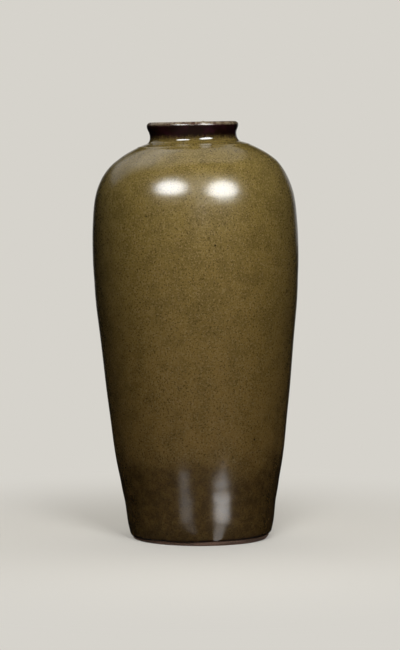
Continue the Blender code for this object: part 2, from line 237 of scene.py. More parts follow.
# Reflector panels behind the jar: degrees to the right of the camera, above the horizon, wide and
# high as seen from the jar, and brightness, where 1 is white
PANELS = (
    ("left_panel", -138.0, 41.0, 42.0, 40.0, 0.5),
    ("top_panel", -165.0, 68.0, 60.0, 48.0, 0.45),
    ("right_panel", 158.0, 3.0, 12.0, 14.0, 0.35),
)

# Gleams of the softboxes on the floor: place in degrees to the right of the camera and millimetres
# from the origin, length and width in millimetres, and brightness, where 1 is white
LEFT_GLEAMS = (
    ("left_gleam_far", -17.5, 148.0, 30.0, 34.0, 1.4),
    ("left_gleam_near", -14.5, 109.0, 13.0, 32.0, 1.9),
    ("left_gleam_tail", -16.0, 120.0, 120.0, 20.0, 0.45),
)
RIGHT_GLEAMS = (
    ("right_gleam", 27.3, 122.0, 44.0, 42.0, 5.2),
    ("right_gleam_tail", 27.5, 130.0, 160.0, 18.0, 1.6),
)
GLEAM_LIFT = 1.0 * MM

# The floor's radius, and its fading into the background: where that begins and ends, counted from
# the origin, and the share of background that it begins with
FLOOR_RADIUS = 6.0
FLOOR_FADE = (80 * MM, 400 * MM, 0.4)

# Cosines of the angle from straight behind the jar: where the gloss starts to find the backdrop and
# where it finds it whole, and the same for the glow before the jar
BACKDROP_SPAN = (0.95, 0.995)
GLOW_SPAN = (-0.25, -1.0)

# Where the back light comes from, and cosines of the angle from there: where it starts and is full
BACK_LIGHT_FROM = (0.0, 0.85, 0.53)
BACK_LIGHT_SPAN = (0.2, 0.9)
SOFTBOX_TINT = (0.94, 0.97, 1.0)

# Where marks begin and where they are whole, in millimetres down from the lip's crown (DOWN), out
# from the axis (OUT) or up from the foot (UP)
BODY_MARKS_DOWN = (16.0, 24.0)
NECK_MARKS_DOWN = (30.0, 25.0)
PINCH_DOWN = (7.0, 13.0)
PINCH_OUT = (38.0, 34.0)
ROOT_OUT = (37.5, 35.5)
LINES_FROM_DOWN = (12.0, 10.0)
LINES_TO_DOWN = (3.5, 4.5)
LIP_TOP_DOWN = (2.0, 1.0)
FINGERS_DOWN = (15.0, 30.0)
FINGERS_UP = (25.0, 45.0)
GLAZE_EDGE_UP = (14.0, 4.0)

# Swellings and hollows near the neck, in the same terms: the middle and the reach either way
BROW_OUT = (48.0, 11.0)
ROOT_FILL_DOWN = (11.6, 1.1)
ROOT_CORNER_DOWN = (14.0, 0.9)
NECK_FILL_DOWN = (8.4, 2.2)

# The ridge where the neck was luted on lies this far inside the shoulder's top, in millimetres
RIDGE_INSET = 0.6

# The neck is askew in a belt round its root: where the belt begins, is whole and starts to fade
# again, in millimetres above the root
ASKEW_BELT = (-34.0, -12.0, 4.0)

# The bead on the lip: middle and reach inwards from the lip's edge in millimetres, and round it in
# degrees, where the front is at 270
BEAD_INSET = (1.6, 0.8)
BEAD_AZIMUTH = (284.0, 2.4)

# Places where the outside swells or draws in: height, reach up and down, and amount, in millimetres
SWELLS = (
    (11.0, 6.0, 0.35), (27.0, 7.0, -0.45), (42.0, 8.0, -0.25), (64.0, 18.0, 0.45),
    (108.0, 18.0, 0.20), (168.0, 12.0, 0.20), (188.0, 6.0, -0.12), (230.0, 9.0, -0.18),
    (249.0, 7.0, 0.12),
)

# Iron spots: degrees to the right of the front, height and diameter in millimetres
IRON_SPOTS = (
    (10.8, 213.8, 1.6), (-27.6, 234.7, 1.4), (-32.8, 174.4, 1.3), (-43.1, 139.4, 1.5),
    (-55.2, 93.5, 1.4), (38.6, 75.2, 1.8), (-62.1, 54.6, 1.4), (-128.0, 190.0, 1.5),
    (36.0, 284.2, 2.0), (44.0, 283.6, 2.2), (104.0, 152.0, 1.6), (160.0, 226.0, 1.4),
    (-170.0, 96.0, 1.6), (128.0, 60.0, 1.4),
)


def add_node(tree, kind, settings, sockets, output=0):
    """Add a node and return one of its outputs. A socket takes such an output or a value."""
    made = tree.nodes.new(kind)
    for name, value in settings.items():
        setattr(made, name, value)
    for name, value in sockets.items():
        if isinstance(value, bpy.types.NodeSocket):
            tree.links.new(value, made.inputs[name])
        elif isinstance(value, Color):
            made.inputs[name].default_value = (*value, 1.0)
        else:
            made.inputs[name].default_value = value
    return made.outputs[output]


def downwards(turn):
    """The direction that turns by this angle from straight down towards the axis."""
    return Vector((-math.sin(turn), -math.cos(turn)))


def station(point, direction):
    """A point (radius, height) of an outline, and the unit vector that runs into the wall there."""
    return point, Vector((direction.y, -direction.x)).normalized()


def mirrored(stations):
    """The same stations with the wall on the other side."""
    return [(point, -inward) for point, inward in stations]


def under(stations, depth):
    """The stations moved this deep into the wall."""
    return [(point + inward * depth, inward) for point, inward in stations]


def sweep(start, start_direction, end, end_direction, spacing, reach=(1 / 3, 1 / 3)):
    """Stations along one Bezier curve. Each handle's reach is a share of the chord."""
    chord = (end - start).length
    corners = (
        start,
        start + start_direction * chord * reach[0],
        end - end_direction * chord * reach[1],
        end,
    )
    steps = math.ceil(chord / spacing)
    stations = []
    for step in range(steps + 1):
        t = step / steps
        u = 1 - t
        weights = (u * u * u, 3 * u * u * t, 3 * u * t * t, t * t * t)
        rates = (-u * u, u * u - 2 * u * t, 2 * u * t - t * t, t * t)
        point = sum((c * w for c, w in zip(corners, weights)), Vector((0.0, 0.0)))
        direction = sum((c * r for c, r in zip(corners, rates)), Vector((0.0, 0.0)))
        stations.append(station(point, direction))
    return stations


def rounded_corner(before, corner, after, radius, room, spacing):
    """Stations round the arc that takes off a corner. It takes up at most this share of a run."""
    back = before - corner
    on = after - corner
    half = back.angle(on) / 2
    radius = min(radius, room * math.tan(half) * min(back.length, on.length))
    back.normalize()
    on.normalize()
    centre = corner + (back + on).normalized() * radius / math.sin(half)
    first = corner + back * radius / math.tan(half) - centre
    last = corner + on * radius / math.tan(half) - centre
    turn = math.atan2(first.x * last.y - first.y * last.x, first.dot(last))
    steps = max(3, math.ceil(abs(turn) * radius / spacing))
    stations = []
    for step in range(steps + 1):
        swing = turn * step / steps
        arm = Vector((
            first.x * math.cos(swing) - first.y * math.sin(swing),
            first.x * math.sin(swing) + first.y * math.cos(swing),
        ))
        direction = Vector((-arm.y, arm.x)) * math.copysign(1.0, turn)
        stations.append(station(centre + arm, direction))
    return stations


def outer_runs(jar, coarse, fine):
    """The outside from the crown of the lip down to the foot, as runs of stations."""
    lip_radius = jar.lip_diameter / 2
    neck_radius = jar.neck_diameter / 2
    bore_radius = neck_radius - neck_depth(jar)
    crown = Vector(((lip_radius + bore_radius) / 2, jar.height))
    lip_corner = Vector((lip_radius, jar.height))
    undercut = Vector((lip_radius, jar.height - jar.lip_depth))
    flare = Vector((neck_radius, undercut.y - jar.neck_flare_depth))
    root = Vector((neck_radius, jar.height - jar.neck_root_drop))
    shoulder_width = jar.shoulder_top_diameter / 2 - neck_radius
    shoulder_top = root + Vector((shoulder_width, -shoulder_width * math.tan(jar.shoulder_top_slope)))
    shoulder_turn = Vector((jar.shoulder_turn_diameter / 2, jar.shoulder_turn_height))
    belly = Vector((jar.belly_diameter / 2, jar.belly_height))
    waist = Vector((belly.x - jar.waist_inset, jar.waist_height))
    foot_edge = Vector((jar.foot_edge_diameter / 2, jar.foot_edge_height))
    roll_run = jar.glaze_roll_round * math.tan(jar.glaze_roll_turn / 2)
    down_foot = downwards(jar.foot_taper)
    roll_corner = foot_edge + down_foot * roll_run
    roll_end = roll_corner + downwards(jar.foot_taper + jar.glaze_roll_turn) * roll_run

    down_shoulder = downwards(jar.shoulder_top_slope - math.pi / 2)
    down_turn = downwards(jar.shoulder_turn_slope - math.pi / 2)
    plumb = downwards(0.0)
    down_waist = downwards(jar.waist_taper)
    undercut_arc = rounded_corner(lip_corner, undercut, flare, jar.lip_undercut_round, 0.15, fine)
    flare_arc = rounded_corner(undercut, flare, root, jar.neck_flare_round, 0.35, fine)
    return {
        "lip": rounded_corner(crown, lip_corner, undercut, jar.lip_outer_round, 0.85, fine),
        "neck": undercut_arc + flare_arc,
        "root": rounded_corner(flare, root, shoulder_top, jar.neck_root_round, 0.6, fine),
        "brow": sweep(shoulder_top, down_shoulder, shoulder_turn, down_turn, coarse / 2),
        "shoulder": sweep(shoulder_turn, down_turn, belly, plumb, coarse, (1 / 3, 0.36)),
        "flank": sweep(belly, plumb, waist, down_waist, coarse),
        "taper": sweep(waist, down_waist, foot_edge, down_foot, coarse),
        "roll": rounded_corner(foot_edge, roll_corner, roll_end, jar.glaze_roll_round, 1.0, fine),
    }


def clay_depth(jar):
    """From a glazed surface to the clay."""
    return jar.glaze + jar.fit


def neck_depth(jar):
    """Through the neck's whole wall."""
    return 2 * clay_depth(jar) + jar.neck_wall


def body_depth(jar):
    """Through the body's whole wall."""
    return 2 * clay_depth(jar) + jar.body_wall


def inner_runs(jar, outer, coarse, fine):
    """The inside from the crown of the lip down to the floor's centre, as runs of stations."""
    bore_radius = jar.neck_diameter / 2 - neck_depth(jar)
    crown = Vector(((jar.lip_diameter / 2 + bore_radius) / 2, jar.height))
    bore_corner = Vector((bore_radius, jar.height))
    bore_end = Vector((bore_radius, outer["root"][0][0].y))
    lip = rounded_corner(crown, bore_corner, bore_end, jar.lip_inner_round, 0.85, fine)
    runs = {"lip": mirrored(lip)}

    # The wall thickens from the neck to the body in these shares of its growth.
    growth = body_depth(jar) - neck_depth(jar)
    for name, begin, end in (("root", 0.0, 1 / 2), ("brow", 2 / 3, 1.0)):
        run = outer[name]
        shares = np.linspace(begin, end, len(run))
        runs[name] = [
            (point + inward * (neck_depth(jar) + growth * share), -inward)
            for (point, inward), share in zip(run, shares)
        ]
    for name in ("shoulder", "flank", "taper"):
        runs[name] = mirrored(under(outer[name], body_depth(jar)))

    floor_top = jar.foot_ring_height + jar.fit + jar.floor_thickness + clay_depth(jar)
    wall_end = floor_top + jar.floor_round
    runs["taper"] = [place for place in runs["taper"] if place[0].y > wall_end]
    wall_foot, outward = runs["taper"][-1]
    floor_edge = Vector((wall_foot.x - jar.floor_round, floor_top))
    down_wall = Vector((outward.y, -outward.x))
    corner = sweep(wall_foot, down_wall, floor_edge, Vector((-1.0, 0.0)), coarse, (0.4, 0.4))
    runs["floor"] = mirrored(corner) + [(Vector((0.0, floor_top)), Vector((0.0, -1.0)))]
    return runs


def joined(runs, spacing):
    """One list of stations from runs that follow each other, with straight gaps filled in."""
    stations = []
    for point, inward in (place for run in runs for place in run):
        if stations:
            last, last_inward = stations[-1]
            gap = (point - last).length
            if gap < SAME_STATION:
                continue
            for step in range(1, math.ceil(gap / spacing)):
                share = step / math.ceil(gap / spacing)
                between = last_inward.lerp(inward, share).normalized()
                stations.append((last.lerp(point, share), between))
        stations.append((point, inward))
    return stations


def beaded_edge(stations, thickness, steps=5):
    """Stations round the bead that ends a glaze coat."""
    point, inward = stations[-1]
    onward = Vector((-inward.y, inward.x))
    centre = point + inward * thickness / 2
    bead = []
    for step in range(1, steps + 1):
        swing = math.pi * step / (steps + 1)
        arm = onward * math.sin(swing) - inward * math.cos(swing)
        bead.append((centre + arm * thickness / 2, -arm))
    return bead


def nearest(stations, radius, height):
    """Index of the station nearest to a place."""
    place = Vector((radius, height))
    return min(range(len(stations)), key=lambda i: (stations[i][0] - place).length)


def bump(value, middle, reach):
    """A smooth bump of height 1 round a middle value."""
    return np.exp(-(((value - middle) / reach) ** 2))


def rise(value, begin, end):
    """0 up to begin, 1 from end on, and smooth between. It falls if end is the lower one."""
    share = np.clip((value - begin) / (end - begin), 0.0, 1.0)
    return share * share * (3 - 2 * share)


def wander(azimuth, height, seed, turns, length):
    """A smooth random field from -1 to 1 or so, round and up the jar."""
    dice = np.random.default_rng(seed)
    field = 0.0
    for wave in range(1, turns + 1):
        phase, tilt = dice.uniform(0, math.tau, 2)
        field = field + np.cos(wave * azimuth + math.tau * height / length * math.cos(tilt) + phase)
    return field / math.sqrt(turns)


def lean_over(jar, x, y, h):
    """World points from points in the jar's own frame."""
    shift = jar.belly_height * math.sin(jar.lean)
    sine, cosine = math.sin(jar.lean), math.cos(jar.lean)
    return np.stack([shift + x * cosine - h * sine, y, x * sine + h * cosine], axis=-1)


def azimuths():
    """The angles of the segments, in one row. The front is at -90 degrees."""
    return np.linspace(0.0, math.tau, SEGMENTS, endpoint=False)[None, :]


def turn(jar, making, stations, relief):
    """A row of world points for each station, moved out of the wall by the relief."""
    around = azimuths()
    columns = np.array([(*point, *inward) for point, inward in stations]).T[:, :, None]
    radius, height, inward_radius, inward_height = columns
    out = relief(around, radius, height)
    radius = radius - inward_radius * out
    height = height - inward_height * out
    x = radius * np.cos(around)
    y = radius * np.sin(around)
    root = jar.height - jar.neck_root_drop
    begin, whole, fading = (root + offset * MM for offset in ASKEW_BELT)
    belt = rise(height, begin, whole) * rise(height, jar.height, fading)
    height = height + making.neck_askew * x / (jar.shoulder_top_diameter / 2) * belt
    x = x - making.neck_shift * rise(height, root, jar.height - jar.lip_depth)
    return lean_over(jar, x, y, height)


def normals_of(rows):
    """Unit normals of rows of points, on the side where the rows run down an outside."""
    along = np.gradient(rows, axis=0)
    around = np.roll(rows, -1, axis=1) - np.roll(rows, 1, axis=1)
    normals = np.cross(along, around)
    return normals / np.maximum(np.linalg.norm(normals, axis=2, keepdims=True), 1e-12)


def closed_mesh(name, rows, normals=None):
    """A closed mesh whose cross-section is the loop of rows. Rows on the axis become one point."""
    count = len(rows)
    on_axis = np.ptp(rows, axis=1).max(axis=1) < SAME_POINT
    faces = []
    for row in range(count):
        after = (row + 1) % count
        if on_axis[row] and on_axis[after]:
            continue
        for left in range(SEGMENTS):
            right = (left + 1) % SEGMENTS
            faces.append((
                row * SEGMENTS + left, after * SEGMENTS + left,
                after * SEGMENTS + right, row * SEGMENTS + right,
            ))
    mesh = bpy.data.meshes.new(name)
    mesh.from_pydata(rows.reshape(-1, 3).tolist(), [], faces)
    if on_axis.any():
        welded = bmesh.new()
        welded.from_mesh(mesh)
        bmesh.ops.remove_doubles(welded, verts=welded.verts, dist=SAME_POINT)
        bmesh.ops.delete(welded, geom=[v for v in welded.verts if not v.link_faces], context="VERTS")
        welded.to_mesh(mesh)
        welded.free()
    mesh.shade_smooth()
    if normals is not None and not on_axis.any():
        mesh.normals_split_custom_set_from_vertices(normals.reshape(-1, 3).tolist())
    made = bpy.data.objects.new(name, mesh)
    bpy.context.scene.collection.objects.link(made)
    return made


def coat(name, rows, normals, thickness, finish):
    """A glaze coat under rows of its visible surface."""
    hidden = list(range(len(rows) - 1, 0, -HIDDEN_STEP)) + [0]
    inner = rows[hidden] - normals[hidden] * thickness
    made = closed_mesh(
        name, np.concatenate([rows, inner]), np.concatenate([normals, -normals[hidden]])
    )
    made.data.materials.append(finish)
    return made


def dress(piece, slot, *nodes):
    """Let a piece ride on the jar and stand for CAD nodes, which are hidden. The slot is not used."""
    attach(piece, "root")
    if nodes:
        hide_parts(*nodes)


def new_material(name):
    """A material with its Principled shader."""
    made = bpy.data.materials.new(name)
    made.use_nodes = True
    return made, made.node_tree, made.node_tree.nodes["Principled BSDF"]


def places_on(tree, jar):
    """A point's place, its place from the foot's centre, and its height along the leaning axis."""
    shift = (jar.belly_height * math.sin(jar.lean), 0.0, 0.0)
    axis = (-math.sin(jar.lean), 0.0, math.cos(jar.lean))
    place = add_node(tree, "ShaderNodeTexCoord", {}, {}, "Object")
    from_foot = add_node(tree, "ShaderNodeVectorMath", {"operation": "SUBTRACT"}, {0: place, 1: shift})
    height = add_node(
        tree, "ShaderNodeVectorMath", {"operation": "DOT_PRODUCT"}, {0: from_foot, 1: axis}, "Value"
    )
    return place, from_foot, height


def laid_over(tree, ground, covering, value, begin, end, most=1.0):
    """Cover the ground with another colour, up to this share, as a value goes from begin to end."""
    share = add_node(
        tree, "ShaderNodeMapRange", SMOOTH,
        {"Value": value, "From Min": begin, "From Max": end, "To Max": most},
    )
    return add_node(
        tree, "ShaderNodeMix", BY_COLOUR, {FACTOR: share, FIRST: ground, SECOND: covering}, MIXED
    )


def patched(tree, ground, covering, place, spacing, texture, span, most=1.0):
    """Cover the ground with patches of another colour. The noise that places them is returned too.

    The texture is the noise's detail and roughness, and the span is where the patches begin and
    where they are whole.
    """
    detail, roughness = texture
    noise = add_node(
        tree, "ShaderNodeTexNoise", {},
        {"Vector": place, "Scale": 1 / spacing, "Detail": detail, "Roughness": roughness},
    )
    return laid_over(tree, ground, covering, noise, *span, most), noise


def drifting(tree, place, height, spacing, amount, detail=3.0, roughness=0.6):
    """The height with slow noise added, for an edge that wanders. The noise is 0.5 on average."""
    drift = add_node(
        tree, "ShaderNodeTexNoise", {},
        {"Vector": place, "Scale": 1 / spacing, "Detail": detail, "Roughness": roughness},
    )
    return add_node(
        tree, "ShaderNodeMath", {"operation": "MULTIPLY_ADD"}, {0: drift, 1: amount, 2: height}
    )


def tea_dust_ground(tree, finish, place, height):
    """Colour and grain of the tea-dust glaze: olive and tan clouds full of fine crystals."""
    clouds = add_node(
        tree, "ShaderNodeTexNoise", {},
        {"Vector": place, "Scale": 1 / finish.cloud_size, "Detail": 4.0, "Roughness": 0.6},
    )
    warm = add_node(
        tree, "ShaderNodeMapRange", {},
        {"Value": clouds, "From Min": 0.30, "From Max": 0.70, "To Max": 0.16},
    )
    warmer_low = add_node(
        tree, "ShaderNodeMapRange", {},
        {"Value": height, "From Min": 270 * MM, "From Max": 60 * MM, "To Max": 0.84},
    )
    warmth = add_node(tree, "ShaderNodeMath", {"operation": "ADD"}, {0: warm, 1: warmer_low})
    ground = add_node(
        tree, "ShaderNodeMix", BY_COLOUR,
        {FACTOR: warmth, FIRST: finish.olive, SECOND: finish.tan}, MIXED,
    )
    ground = laid_over(tree, ground, finish.dark_speck, clouds, 0.60, 0.34, 0.28)
    # Real crystals are 0.1 to 0.3 mm wide. They are drawn as clusters that show from a step away.
    spacing, texture = finish.speck_size, (2.0, 0.6)
    ground, _ = patched(
        tree, ground, finish.light_speck, place, spacing / 0.8, texture, (0.50, 0.66), 0.55
    )
    return patched(tree, ground, finish.dark_speck, place, spacing, texture, (0.47, 0.33), 0.85)


def iron_brown(tree, finish, place):
    """Colour of the brown neck glaze, nearly black with purplish clouds."""
    brown, _ = patched(
        tree, finish.iron_brown, finish.purple_brown, place, 9 * MM, (3.0, 0.6), (0.44, 0.62)
    )
    return brown


def browned_neck(tree, finish, ground, place, from_foot, height):
    """The ground with the brown band round the neck, whose lower edge ran down in streaks."""
    streaks = add_node(
        tree, "ShaderNodeVectorMath", {"operation": "MULTIPLY"}, {0: from_foot, 1: (1.0, 1.0, 0.25)}
    )
    moved = drifting(tree, streaks, height, 2.6 * MM, 6 * MM, 4.0, 0.65)
    edge = finish.neck_band_edge
    return laid_over(tree, ground, iron_brown(tree, finish, place), moved, edge, edge + 7.4 * MM)


def iron_spotted(tree, jar, finish, place, ground):
    """The ground with a dark pit at each of the iron spots."""
    for degrees, spot_height, diameter in IRON_SPOTS:
        radius = outside_radius(jar, spot_height * MM)
        swing = math.radians(degrees - 90)
        spot = lean_over(jar, radius * math.cos(swing), radius * math.sin(swing), spot_height * MM)
        gap = add_node(
            tree, "ShaderNodeVectorMath", {"operation": "DISTANCE"}, {0: place, 1: tuple(spot)}, "Value"
        )
        rim, core = diameter * 0.6 * MM, diameter * 0.3 * MM
        ground = laid_over(tree, ground, finish.iron_brown, gap, rim, core, 0.8)
    return ground


def fire(tree, shader, ground, grain, swing, roughness, ior=1.5, strength=1.0):
    """Give a fired surface its colour, its gloss and the fine relief of its grain."""
    relief = add_node(
        tree, "ShaderNodeBump", {}, {"Strength": strength, "Distance": swing, "Height": grain}
    )
    tree.links.new(relief, shader.inputs["Normal"])
    tree.links.new(ground, shader.inputs["Base Color"])
    shader.inputs["Metallic"].default_value = 0.0
    shader.inputs["IOR"].default_value = ior
    if isinstance(roughness, bpy.types.NodeSocket):
        tree.links.new(roughness, shader.inputs["Roughness"])
    else:
        shader.inputs["Roughness"].default_value = roughness


def tea_dust_glaze(jar, finish):
    """Tea-dust glaze, an iron glaze cooled slowly so that olive crystals grow in it.

    It gives the eye a satin olive brown full of fine dark and yellow-green specks, with brown
    mottling near the foot, small iron spots, soft highlights on the shoulder and sharper ones
    where the glaze lies thick beside the neck.
    """
    material, tree, shader = new_material("tea_dust_glaze")
    place, from_foot, height = places_on(tree, jar)
    ground, grain = tea_dust_ground(tree, finish, place, height)

    sway, fade = 50 * MM, 16 * MM
    edge = finish.low_brown_height - sway / 2
    low = add_node(
        tree, "ShaderNodeMapRange", SMOOTH,
        {"Value": drifting(tree, place, height, 16 * MM, -sway),
         "From Min": edge + fade, "From Max": edge - fade},
    )
    blotches = add_node(
        tree, "ShaderNodeTexNoise", {},
        {"Vector": place, "Scale": 1 / (7 * MM), "Detail": 6.0, "Roughness": 0.75},
    )
    mottling = add_node(
        tree, "ShaderNodeMapRange", SMOOTH,
        {"Value": blotches, "From Min": 0.34, "From Max": 0.66, "To Min": 0.42, "To Max": 0.80},
    )
    browned = add_node(tree, "ShaderNodeMath", {"operation": "MULTIPLY"}, {0: low, 1: mottling})
    ground = add_node(
        tree, "ShaderNodeMix", BY_COLOUR,
        {FACTOR: browned, FIRST: ground, SECOND: finish.low_brown}, MIXED,
    )
    ground = laid_over(tree, ground, finish.scorched_clay, height, 5.2 * MM, 3.8 * MM, 0.6)
    ground = browned_neck(tree, finish, ground, place, from_foot, height)
    ground = iron_spotted(tree, jar, finish, place, ground)

    # The glaze gets glossier in two steps and smoother in one towards the neck's root. Each step
    # begins and ends so many millimetres below it.
    root = jar.height - jar.neck_root_drop
    roughness = finish.body_roughness
    for begin, end, reached in ((10, 6, finish.brow_roughness), (2.5, 0, finish.neck_roughness)):
        roughness = add_node(
            tree, "ShaderNodeMapRange", SMOOTH,
            {"Value": height, "From Min": root - begin * MM, "From Max": root - end * MM,
             "To Min": roughness, "To Max": reached},
        )
    smoothing = add_node(
        tree, "ShaderNodeMapRange", SMOOTH,
        {"Value": height, "From Min": root - 9 * MM, "From Max": root - 5 * MM,
         "To Min": 1.0, "To Max": 0.2},
    )
    fire(tree, shader, ground, grain, 0.05 * MM, roughness, ior=1.65, strength=smoothing)
    return material


def outside_radius(jar, height):
    """Radius of the outside at a height."""
    stations = [place for run in outer_runs(jar, 4 * MM, 1 * MM).values() for place in run]
    heights = np.array([point.y for point, _ in stations])
    radii = np.array([point.x for point, _ in stations])
    order = np.argsort(heights)
    return float(np.interp(height, heights[order], radii[order]))


def iron_brown_glaze(jar, finish):
    """Iron-rich glaze pooled thick round the neck.

    It gives the eye a deep glossy brown, purplish in places, that turns olive at its lower edge.
    """
    material, tree, shader = new_material("iron_brown_glaze")
    place, from_foot, height = places_on(tree, jar)
    ground, grain = tea_dust_ground(tree, finish, place, height)
    ground = browned_neck(tree, finish, ground, place, from_foot, height)
    fire(tree, shader, ground, grain, 0.01 * MM, finish.neck_roughness, ior=1.6)
    return material


def thin_lip_glaze(jar, finish):
    """The same glaze where it ran thin over the lip.

    It gives the eye a greyish beige line with rusty breaks, and a dark lower edge.
    """
    material, tree, shader = new_material("thin_lip_glaze")
    place, _, height = places_on(tree, jar)
    ground, grain = patched(
        tree, finish.lip_grey, finish.lip_rust, place, 4 * MM, (4.0, 0.7), (0.44, 0.62)
    )
    moved = drifting(tree, place, height, 2 * MM, 3 * MM)
    brown = iron_brown(tree, finish, place)
    ground = laid_over(tree, ground, brown, moved, jar.height + 0.2 * MM, jar.height - 1.6 * MM)
    fire(tree, shader, ground, grain, 0.08 * MM, finish.lip_roughness, ior=1.6)
    return material


def inside_glaze(jar, finish):
    """The lining: the same glaze, plainer and darker, poured in and out.

    It gives the eye a dark olive brown with slow streaks.
    """
    material, tree, shader = new_material("inside_glaze")
    place, _, height = places_on(tree, jar)
    ground, grain = tea_dust_ground(tree, finish, place, height)
    streaks = add_node(
        tree, "ShaderNodeVectorMath", {"operation": "MULTIPLY"}, {0: place, 1: (1.0, 1.0, 0.2)}
    )
    ground, _ = patched(
        tree, ground, finish.inside_brown, streaks, 7 * MM, (3.0, 0.5), (0.25, 0.55)
    )
    fire(tree, shader, ground, grain, 0.05 * MM, finish.body_roughness, ior=1.6)
    return material


def bare_stoneware(jar, finish):
    """Unglazed stoneware, turned and then ground level.

    It gives the eye a dry reddish brown with sandy grains, flashed dark beside the glaze.
    """
    material, tree, shader = new_material("bare_stoneware")
    place, _, height = places_on(tree, jar)
    clay, scorched = finish.bare_clay, finish.scorched_clay
    ground, grain = patched(
        tree, clay, scorched, place, finish.grog_size, (2.0, 0.7), (0.50, 0.30), 0.6
    )
    moved = drifting(tree, place, height, 7 * MM, 1.2 * MM, 2.0, 0.5)
    ground = laid_over(tree, ground, scorched, moved, 3.4 * MM, 4.4 * MM)
    fire(tree, shader, ground, grain, 0.12 * MM, 0.75)
    return material


def hidden_clay(name, rgb, grog_size):
    """Fired clay or slip under the glaze.

    It gives the eye a matt, sandy surface if the glaze is taken off.
    """
    material, tree, shader = new_material(name)
    place = add_node(tree, "ShaderNodeTexCoord", {}, {}, "Object")
    ground, grain = patched(tree, rgb, rgb * 0.55, place, grog_size, (3.0, 0.7), (0.60, 0.35))
    fire(tree, shader, ground, grain, 0.10 * MM, 0.8)
    return material


def outside_relief(jar, making):
    """How far the outside stands proud of the turned outline, as a function of its place."""
    ridge_out = jar.shoulder_top_diameter / 2 - RIDGE_INSET * MM
    bead_out = jar.lip_diameter / 2 / MM - BEAD_INSET[0]

    def relief(azimuth, radius, height):
        """The sum of all marks outside, in metres."""
        down = (jar.height - height) / MM
        across = radius / MM
        out = making.unevenness * (wander(azimuth, height, seed=3, turns=5, length=90 * MM) - 1.0)
        for middle, reach, amount in SWELLS:
            out = out + amount * MM * bump(height, middle * MM, reach * MM)
        spiral = np.cos(math.tau * height / making.throwing_pitch + azimuth)
        out = out + making.throwing * spiral * bump(height, jar.height / 2, jar.height / 2)
        out = out * rise(down, *BODY_MARKS_DOWN)

        pinch = making.neck_pinch * rise(down, *PINCH_DOWN) * rise(across, *PINCH_OUT)
        front = np.clip(-np.sin(azimuth), 0.0, 1.0) ** 2
        at_root = making.root_fill * bump(down, *ROOT_FILL_DOWN)
        at_root = at_root - making.root_corner * bump(down, *ROOT_CORNER_DOWN)
        at_root = at_root + making.neck_fill * bump(down, *NECK_FILL_DOWN) * front
        near_neck = at_root * rise(across, *ROOT_OUT) - pinch
        near_neck = near_neck - making.brow_sink * bump(across, *BROW_OUT)
        near_neck = near_neck + making.ridge * bump(radius, ridge_out, making.ridge_width)
        out = out + near_neck * rise(down, *NECK_MARKS_DOWN)

        lines = np.cos(math.tau * height / making.neck_line_pitch + 0.3 * np.sin(azimuth * 2))
        lines = lines * rise(down, *LINES_FROM_DOWN) * rise(down, *LINES_TO_DOWN)
        bead = bump(across, bead_out, BEAD_INSET[1]) * rise(down, *LIP_TOP_DOWN)
        bead = bead * bump(azimuth, *np.radians(BEAD_AZIMUTH))
        return out + making.neck_lines * lines + making.lip_bead * bead

    return relief


def inside_relief(jar, making):
    """How far the lining stands proud inside, as a function of its place."""

    def relief(azimuth, radius, height):
        """The finger spiral, which fades out in the neck and on the floor."""
        down = (jar.height - height) / MM
        spiral = np.cos(math.tau * height / making.inner_throwing_pitch - azimuth)
        spiral = spiral * rise(height / MM, *FINGERS_UP) * rise(down, *FINGERS_DOWN)
        return making.inner_throwing * spiral

    return relief


class JAR_OT_glaze_coats(bpy.types.Operator):
    """Build the glaze over the lip, round the neck, down the outside and down the inside"""

    bl_idname = "jar.glaze_coats"
    bl_label = "Glaze coats"

    def execute(self, context):
        jar, making = context.scene.jar_sizes, context.scene.jar_making
        finish = context.scene.jar_finish
        coarse, fine = 1.6 * MM, 0.4 * MM
        outer = outer_runs(jar, coarse, fine)
        inner = inner_runs(jar, outer, coarse, fine)
        inside = joined(list(inner.values()), coarse)[::-1]
        outside = joined(list(outer.values()), coarse / 2)
        outside += beaded_edge(outside, jar.glaze)
        stations = inside + outside

        inside_marks = inside_relief(jar, making)
        outside_marks = outside_relief(jar, making)
        count = len(inside)

        def relief(azimuth, radius, height):
            """Inside marks on the first stations and outside marks on the rest."""
            within = inside_marks(azimuth, radius[:count], height[:count])
            without = outside_marks(azimuth, radius[count:], height[count:])
            return np.concatenate([within, without])

        rows = turn(jar, making, stations, relief)
        foot = rise(np.array([[point.y / MM] for point, _ in stations]), *GLAZE_EDGE_UP)
        foot[:count] = 0.0
        edge = wander(azimuths(), 0.0, seed=8, turns=9, length=1.0)
        rows[..., 2] += foot * making.glaze_edge_wander * edge
        # The first row is one point on the axis, so its normal is given.
        normals = normals_of(rows)
        normals[0] = (0.0, 0.0, 1.0)

        bore_radius = inner["lip"][-1][0].x
        lip_begin = nearest(stations, bore_radius, inner["lip"][-1][0].y - jar.lip_glaze_run)
        neck_begin = nearest(stations, *outer["lip"][-1][0])
        body_begin = nearest(stations, *outer["root"][0][0])
        last = len(stations) - 1
        spans = (
            ("jar_lining", 0, lip_begin, inside_glaze(jar, finish), "inside_glaze", "inner_glaze"),
            ("lip_coat", lip_begin, neck_begin, thin_lip_glaze(jar, finish), "thin_lip_glaze",
             "lip_glaze"),
            ("neck_coat", neck_begin, body_begin, iron_brown_glaze(jar, finish),
             "iron_brown_glaze", "neck_glaze_band"),
            ("body_coat", body_begin, last, tea_dust_glaze(jar, finish), "tea_dust_glaze",
             "outer_glaze"),
        )
        for name, first, end, material, slot, node in spans:
            span = slice(first, end + 1)
            piece = coat(name, rows[span], normals[span], jar.glaze * COAT_SHARE, material)
            dress(piece, slot, node)
        return {"FINISHED"}


